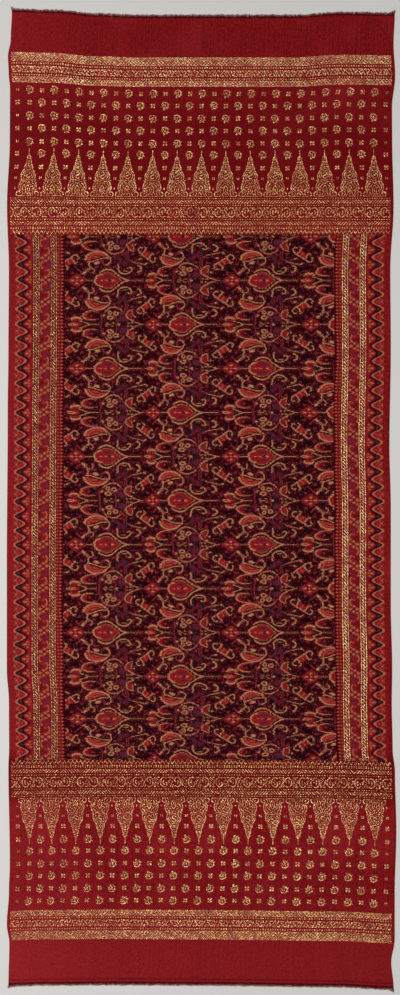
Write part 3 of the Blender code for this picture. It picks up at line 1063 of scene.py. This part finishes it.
# The narrow band's leaves run in two tiers; the wide band's paisleys hang and stand in turn.
LEAF_ROW = repeated(drawn(18, 30, [(2.9, leaf) for leaf in (
    [(-13.4, 16.0), (-13.6, 11.6), (-10.4, 9.4)],
    [(-12.0, 2.0), (-8.4, 6.6)],
    [(-9.4, 15.4), (-5.6, 16.0)],
    [(-5.4, 2.6), (-1.4, 2.2), (0.6, 6.4)],
    [(-3.4, 9.4), (-0.6, 14.4)],
    [(3.4, 1.8), (6.2, 7.6)],
    [(3.8, 11.6), (2.8, 16.2)],
    [(8.4, 11.4), (11.0, 16.0)],
    [(9.6, 3.0), (12.6, 2.0), (13.4, 6.4)],
)]))
HANGING_PAISLEY = drawn(27, 18, (
    (2.7, [
        (6.6, 23.4), (1.0, 25.2), (-4.6, 22.4), (-7.4, 15.6), (-6.6, 7.6),
        (-1.6, 2.4), (4.0, 2.6), (7.2, 7.6), (5.4, 13.4),
    ]),
    (2.4, [(0.2, 17.4), (-1.6, 12.6), (0.6, 8.2)]),
))
SPRIG = drawn(27, 16, [(1.8, curl) for curl in (
    [(-6.4, 2.4), (-2.4, 1.8), (0.8, 5.2), (-1.4, 8.0)],
    [(4.0, 1.8), (6.2, 5.4), (4.4, 8.6)],
    [(-6.0, 9.2), (-3.6, 12.4), (-6.0, 15.0)],
    [(1.2, 9.8), (4.2, 13.2), (1.6, 16.0)],
    [(-3.0, 16.8), (-0.4, 19.6), (-3.4, 22.2)],
    [(5.8, 16.8), (6.4, 20.8), (3.0, 22.4)],
    [(-5.8, 24.6), (0.0, 25.2)],
    [(3.4, 25.4), (6.8, 24.4)],
)])
SCROLLS = np.concatenate([HANGING_PAISLEY, SPRIG], axis=1)
TURNED_SCROLLS = np.concatenate([HANGING_PAISLEY[::-1, ::-1], SPRIG[::-1, ::-1]], axis=1)
SCROLL_ROW = repeated(np.concatenate([SCROLLS, TURNED_SCROLLS], axis=1))
NARROW_BAND = np.concatenate([
    solid(1), lattice(8, 5), lattice(12, 8, 3), plain(3), dots(4), plain(3),
    LEAF_ROW, plain(3), dots(3), plain(2), lattice(10, 8, 3), lattice(4, 5), solid(1),
])
WIDE_BAND = np.concatenate([
    plain(3), dots(2), plain(3), slanted(9, 7, 3, 42), plain(3), dots(2), plain(3),
    SCROLL_ROW, plain(3), dots(2), plain(4), slanted(9, 7, 3, 42), plain(4), dots(2), plain(1),
    dots(3), plain(1), zigzag(12, 10, 3.3, 8.6),
])

# The scattered motifs of one end, in picks up from the foot of the spires.
SCATTER_HEIGHT = 272
SCATTER_ROWS = (255, 225, 194, 163, 132)
BETWEEN_SPIRES = ((103, PAISLEY), (71, ROSETTE), (45, BUD), (20, SPECK))


def scattered_ground():
    """A column of motifs stands over each spire and, half a pitch aside, between the spires."""
    chart = plain(SCATTER_HEIGHT)
    for half_column in range(-SPIRE_COUNT, SPIRE_COUNT + 1):
        at = CHART_WIDTH / 2 + half_column * SPIRE_PITCH / 2
        at_edge = abs(half_column) == SPIRE_COUNT
        over_spire = half_column % 2 == 0
        for number, height in enumerate(SCATTER_ROWS):
            if at_edge:
                motif = ROSETTE if number % 2 else BUD
            elif over_spire == (number % 2 == 0):
                motif = PAISLEY
            else:
                motif = SQUARE_ROSETTE if (half_column + number) % 4 == 0 else ROSETTE
            stamp(chart, motif, SCATTER_HEIGHT - height, at)
        if over_spire:
            stamp(chart, SPIRE, SCATTER_HEIGHT - SPIRE_HEIGHT / 2, at)
            continue
        for height, motif in BETWEEN_SPIRES:
            if at_edge and motif is PAISLEY:
                motif = ROSETTE
            stamp(chart, motif, SCATTER_HEIGHT - height, at)
    return chart


SCATTERED = scattered_ground()


# How far the weaver's count of warps wandered to one side, at places across the cloth.
NO_DRIFT = ((-0.42, 0.0), (0.42, 0.0))
HEAD_DRIFT = ((-0.42, -0.0048), (0.0, 0.0014), (0.42, 0.0076))
FOOT_DRIFT = (
    (-0.42, -0.0022), (-0.29, -0.0104), (-0.08, -0.0092), (0.12, -0.0078),
    (0.25, -0.0050), (0.36, 0.0020), (0.42, 0.0026),
)

# A float rises between its two bindings, more when it is long, and leans a little.
BOUND_HEIGHT = 0.00006
LEAST_RISE = 0.00012
LONG_RISE = 0.00020
FLOAT_LEAN = 0.00012
BINDING = 0.06 * SQUARE
PICK_WANDER = 0.06


def brocade(
    name, chart, start, finish, first_across=-CHART_WIDTH * SQUARE / 2,
    worn_share=0.04, seed=1, drift=NO_DRIFT,
):
    """Lays the gold of a chart on the silk: each float is a low arch between two binding warps."""
    chance = np.random.default_rng(seed)
    rows, columns = chart.shape
    row, column = np.mgrid[:rows, :columns]
    bound = (column + 2 * row) % FLOAT_LENGTH == 0
    before = np.pad(chart, ((0, 0), (1, 0)))[:, :-1]
    after = np.pad(chart, ((0, 0), (0, 1)))[:, 1:]
    bound_after = (column + 1 + 2 * row) % FLOAT_LENGTH == 0
    worn = chance.random(chart.shape) < worn_share
    begins = chart & (~before | bound)
    ends = chart & (~after | bound_after)
    pick, left = np.nonzero(begins)
    _, right = np.nonzero(ends)
    kept = ~worn[pick, left]
    pick, left, right = pick[kept], left[kept], right[kept]
    count = len(pick)
    x0 = first_across + left * SQUARE + BINDING
    x1 = first_across + (right + 1) * SQUARE - BINDING
    x0 = x0 + eased(drift, x0)
    x1 = x1 + eased(drift, x1)
    wander = chance.uniform(-PICK_WANDER, PICK_WANDER, count) * SQUARE
    y0 = start + (pick + 0.05) * SQUARE + wander
    y1 = start + (pick + 0.95) * SQUARE + wander
    across = np.stack([x0, (x0 + x1) / 2, x1] * 2, 1)
    along = np.stack([y0, y0, y0, y1, y1, y1], 1)
    lift = LEAST_RISE + LONG_RISE * np.clip((x1 - x0) / (3 * SQUARE), 0.3, 1.0)
    lean = chance.uniform(-FLOAT_LEAN, FLOAT_LEAN, count)
    bound_ends = np.full(count, BOUND_HEIGHT)
    heights = np.stack([bound_ends, lift + lean, bound_ends, bound_ends, lift - lean, bound_ends], 1)
    x, y = laid(across.ravel(), along.ravel())
    z = silk_height(across.ravel(), along.ravel()) + heights.ravel()
    first = np.arange(count)[:, None] * 6
    faces = np.stack([first + (0, 3, 4, 1), first + (1, 4, 5, 2)], 1).reshape(-1, 4)
    piece = mesh_from(
        name,
        np.stack([x, y, z], -1),
        faces,
        {"loom": np.stack([across.ravel(), along.ravel()], -1)},
    )
    piece.data.materials.append(finish)
    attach(piece, "root")
    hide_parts("cloth")


# The strip's windings, from one to the next, and how far they stand up.
WINDING_ACROSS = 0.0004
WINDING_ALONG = 0.0009
WINDING_DEPTH = 0.00005


def gilt_thread(name, bright, mid, rubbed, left_wear=0.0):
    """Gilt strip wound on silk: painted glints on some picks, rubbed down to the red core on others."""
    finish = Finish(name)
    pick = finish.along // (SQUARE * 2)
    noise = finish.nodes.new("ShaderNodeTexWhiteNoise")
    noise.noise_dimensions = "2D"
    finish.links.new(finish.place(finish.across // (SQUARE * 3), pick), noise.inputs["Vector"])
    painted_glint = noise.outputs["Value"]
    # The brightest colour is a painted glint, laid on floats at random; the same floats are also made
    # glossier.
    colour = finish.blend(finish.ramp(painted_glint, 0.40, 1.0), mid, bright)
    colour = finish.mottled(colour, rubbed, (38, 46, 4.0, 0.68), 0.48, 0.68, 0.7)
    colour = finish.blend(finish.ramp(finish.across, -0.42, 0.20, left_wear, 0.0), colour, rubbed)
    finish.feed(finish.shader.inputs["Base Color"], colour)
    finish.feed(finish.shader.inputs["Roughness"], finish.ramp(painted_glint, 0.0, 1.0, 0.46, 0.28))
    finish.shader.inputs["Metallic"].default_value = 0.55
    winding = finish.along * (2 * math.pi / WINDING_ALONG)
    winding = finish.scaled(finish.across, 2 * math.pi / WINDING_ACROSS, winding)
    finish.bump(finish.sum("SINE", winding), 0.3, WINDING_DEPTH)
    return finish.material


# Each gilt's first colour is its painted glint.
bright_gilt = gilt_thread("bright_gilt", dye(255, 234, 174), dye(190, 108, 64), dye(148, 66, 48))
motif_gilt = gilt_thread("motif_gilt", dye(255, 218, 150), dye(168, 96, 54), dye(130, 58, 40))
worn_gilt = gilt_thread("worn_gilt", dye(255, 206, 134), dye(146, 90, 54), dye(116, 58, 38))
foot_motif_gilt = gilt_thread("foot_motif_gilt", dye(255, 218, 150), dye(164, 96, 56), dye(112, 56, 34), 0.55)
foot_band_gilt = gilt_thread("foot_band_gilt", dye(255, 212, 140), dye(148, 92, 56), dye(108, 56, 36), 0.50)
foot_narrow_gilt = gilt_thread(
    "foot_narrow_gilt", dye(255, 218, 150), dye(168, 96, 56), dye(116, 54, 38), 0.55
)
HEAD_NARROW_START = 0.0868
HEAD_WIDE_START = 0.3905
FOOT_WIDE_END = 1.6995
FOOT_NARROW_END = 2.0085
head_motifs_start = HEAD_WIDE_START - SCATTER_HEIGHT * SQUARE
foot_wide_start = FOOT_WIDE_END - len(WIDE_BAND) * SQUARE
foot_narrow_start = FOOT_NARROW_END - len(NARROW_BAND) * SQUARE
brocade("head_narrow_band", NARROW_BAND, HEAD_NARROW_START, bright_gilt)
brocade("head_motifs", SCATTERED, head_motifs_start, motif_gilt, seed=2, drift=HEAD_DRIFT)
brocade("head_wide_band", WIDE_BAND, HEAD_WIDE_START, worn_gilt, worn_share=0.06, seed=3)
brocade("foot_wide_band", WIDE_BAND[::-1], foot_wide_start, foot_band_gilt, worn_share=0.16, seed=4)
brocade("foot_motifs", SCATTERED[::-1], FOOT_WIDE_END, foot_motif_gilt, seed=5, drift=FOOT_DRIFT)
brocade("foot_narrow_band", NARROW_BAND[::-1], foot_narrow_start, foot_narrow_gilt, seed=6)

# The stripes: a gold line at each edge and a rope of slanting strands between them.
STRAND_TOPS = (-8.5, 0.0, 8.5, 17.0, 25.5)
STRIPE_WIDTH = 15
STRIPE_UNIT = drawn(34, STRIPE_WIDTH, [
    (2.7, [(2.6, top + 8.0), (1.2, top + 5.4), (-1.0, top + 2.4), (-2.8, top)])
    for top in STRAND_TOPS
])
STRIPE_UNIT[:, [0, 1, -2, -1]] = True
stripe_rows = int((foot_wide_start - HEAD_WIDE_START) / SQUARE) - len(WIDE_BAND)
stripe_chart = np.tile(STRIPE_UNIT, (stripe_rows // len(STRIPE_UNIT) + 1, 1))[:stripe_rows]
stripe_start = HEAD_WIDE_START + len(WIDE_BAND) * SQUARE
STRIPES = (
    ("left_outer_stripe", -1, (ZIGZAG_END + OUTER_STRIPE_END) / 2),
    ("left_inner_stripe", -1, (FLOWER_STRIP_END + INNER_STRIPE_END) / 2),
    ("right_inner_stripe", 1, (FLOWER_STRIP_END + INNER_STRIPE_END) / 2),
    ("right_outer_stripe", 1, (ZIGZAG_END + OUTER_STRIPE_END) / 2),
)
for number, (name, side, inwards) in enumerate(STRIPES):
    middle = side * (HALF_LOOM - inwards) * BUNDLE
    chart = np.roll(stripe_chart, 9 * number, axis=0)
    gilt, worn_share = (foot_band_gilt, 0.28) if side < 0 else (bright_gilt, 0.06)
    first_across = middle - STRIPE_WIDTH / 2 * SQUARE
    brocade(name, chart, stripe_start, gilt, first_across, worn_share, 10 + number)


# The frayed ends. Beyond each hem the cut warp has come loose: short dull red threads, lying
# every way, longer at the corners of the cloth.

FRAY_STEP = 0.00018
THREAD_RADIUS = 0.00024
THREAD_CORNERS = 12
TUFT_WIDTH = 0.018
TUFT_REACH = 0.0058
TUFT_LEAN = 0.0024


def frayed_end(name, node, along, outward, length, finish, seed):
    """Tapered three-sided threads, bent a little and resting on the table."""
    chance = np.random.default_rng(seed)
    count = int(LOOM_WIDTH / FRAY_STEP)
    across = np.linspace(-LOOM_WIDTH / 2 + 0.0006, LOOM_WIDTH / 2 - 0.0006, count)
    x, y = laid(across, np.full(count, along))
    to_side = LOOM_WIDTH / 2 - np.abs(across)
    tuft = np.clip(1 - to_side / TUFT_WIDTH, 0, 1)
    clump = 0.5 + 0.5 * np.sin(across * 410 + 3 * np.sin(across * 97))
    reach = length * (0.55 + 0.2 * clump + chance.uniform(0.0, 0.3, count)) + TUFT_REACH * tuft**2
    lean = chance.normal(0, 0.0008, count) + np.sign(across) * TUFT_LEAN * tuft
    curl = chance.normal(0, 0.0006, count)
    height = chance.uniform(0.0003, 0.0011, count)
    rings, shares = [], (0.0, 0.35, 0.7, 1.0)
    for share in shares:
        radius = THREAD_RADIUS * (1 - 0.6 * share) * chance.uniform(0.8, 1.3, count)
        centre_x = x + lean * share + curl * np.sin(math.pi * share)
        centre_y = y + outward * (0.0001 + reach * share)
        centre_z = height * (1 - share) + radius
        for turn in (90, 210, 330):
            side = math.radians(turn)
            corner_x = centre_x + radius * math.cos(side)
            corner_z = centre_z + radius * math.sin(side)
            rings.append(np.stack([corner_x, centre_y, corner_z], -1))
    corners = np.stack(rings, 1).reshape(-1, 3)
    corners[:, 2] = np.maximum(corners[:, 2], 0.00002)
    faces = []
    for ring in range(3):
        for side in range(3):
            after = (side + 1) % 3
            base = ring * 3
            faces.append((base + side, base + after, base + 3 + after, base + 3 + side))
    first = np.arange(count)[:, None, None] * THREAD_CORNERS
    faces = (first + np.array(faces)).reshape(-1, 4)
    loom = np.stack([np.repeat(across, THREAD_CORNERS), np.tile(np.repeat(shares, 3), count)], -1)
    piece = mesh_from(name, corners, faces, {"loom": loom})
    piece.data.materials.append(finish)
    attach(piece, "root")
    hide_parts(node)


def loose_silk(name, deep, bright, painted_shadow_share):
    """Loose silk with the hem's shadow painted at its root, paler towards its tip, and varying from thread to
    thread.
    """
    finish = Finish(name)
    thread = finish.chance(finish.across // FRAY_STEP)
    # painted shadow at the root, giving way to the silk's own red along the thread
    paler = finish.ramp(finish.along, painted_shadow_share - 0.15, painted_shadow_share + 0.15)
    share = paler * finish.ramp(thread, 0.0, 1.0, 0.4, 1.0)
    finish.silk_gloss(finish.blend(share, deep, bright), 0.7)
    return finish.material


# Each runs from a painted shadow colour at the root to its own red at the tip.
head_silk = loose_silk("head_loose_silk", dye(66, 4, 8), dye(160, 26, 32), 0.36)
foot_silk = loose_silk("foot_loose_silk", dye(92, 5, 9), dye(150, 19, 25), 0.40)
frayed_end("head_threads", "head_fray", 0.0, 1.0, 0.0086, head_silk, 21)
frayed_end("foot_threads", "foot_fray", CLOTH_LENGTH, -1.0, 0.0080, foot_silk, 22)


# The pale floor, soft light from a wide overhead panel with a fill from each side, and a camera
# straight above the cloth that takes in its whole length.

bpy.ops.mesh.primitive_plane_add(size=14.0, location=(0.0, 0.0, 0.0))
floor = bpy.context.object
floor.name = "floor"
floor_finish = bpy.data.materials.new("pale_floor")
floor_finish.use_nodes = True
floor_shader = floor_finish.node_tree.nodes["Principled BSDF"]
floor_shader.inputs["Base Color"].default_value = (0.62, 0.61, 0.59, 1.0)
floor_shader.inputs["Roughness"].default_value = 0.85
floor.data.materials.append(floor_finish)


def soft_panel(name, place, size, power):
    light = bpy.data.lights.new(name, "AREA")
    light.shape = "RECTANGLE"
    light.size, light.size_y = size
    light.energy = power
    lamp = bpy.data.objects.new(name, light)
    lamp.location = place
    aim = np.array(place) * -1.0
    tilt = math.atan2(math.hypot(aim[0], aim[1]), -aim[2])
    lamp.rotation_euler = (tilt, 0.0, math.atan2(aim[1], aim[0]) + math.pi / 2)
    bpy.context.scene.collection.objects.link(lamp)


soft_panel("overhead", (-1.6, -0.25, 3.4), (2.4, 3.2), 130.0)
soft_panel("fill", (2.4, 0.1, 2.6), (2.0, 3.0), 60.0)

world = bpy.data.worlds.new("studio")
world.use_nodes = True
world.node_tree.nodes["Background"].inputs["Color"].default_value = (1.0, 0.98, 0.96, 1.0)
world.node_tree.nodes["Background"].inputs["Strength"].default_value = 0.40
bpy.context.scene.world = world
bpy.context.scene.view_settings.view_transform = "Standard"

PHOTO_HEIGHT = 995
CAMERA_HEIGHT = 6.0
camera_data = bpy.data.cameras.new("camera")
camera_data.sensor_fit = "VERTICAL"
camera_data.sensor_height = 36.0
camera_data.lens = 36.0 * CAMERA_HEIGHT / (PHOTO_HEIGHT * BUNDLE)
camera = bpy.data.objects.new("camera", camera_data)
camera.location = (-0.0034, 0.0027, CAMERA_HEIGHT)
bpy.context.scene.collection.objects.link(camera)
bpy.context.scene.camera = camera
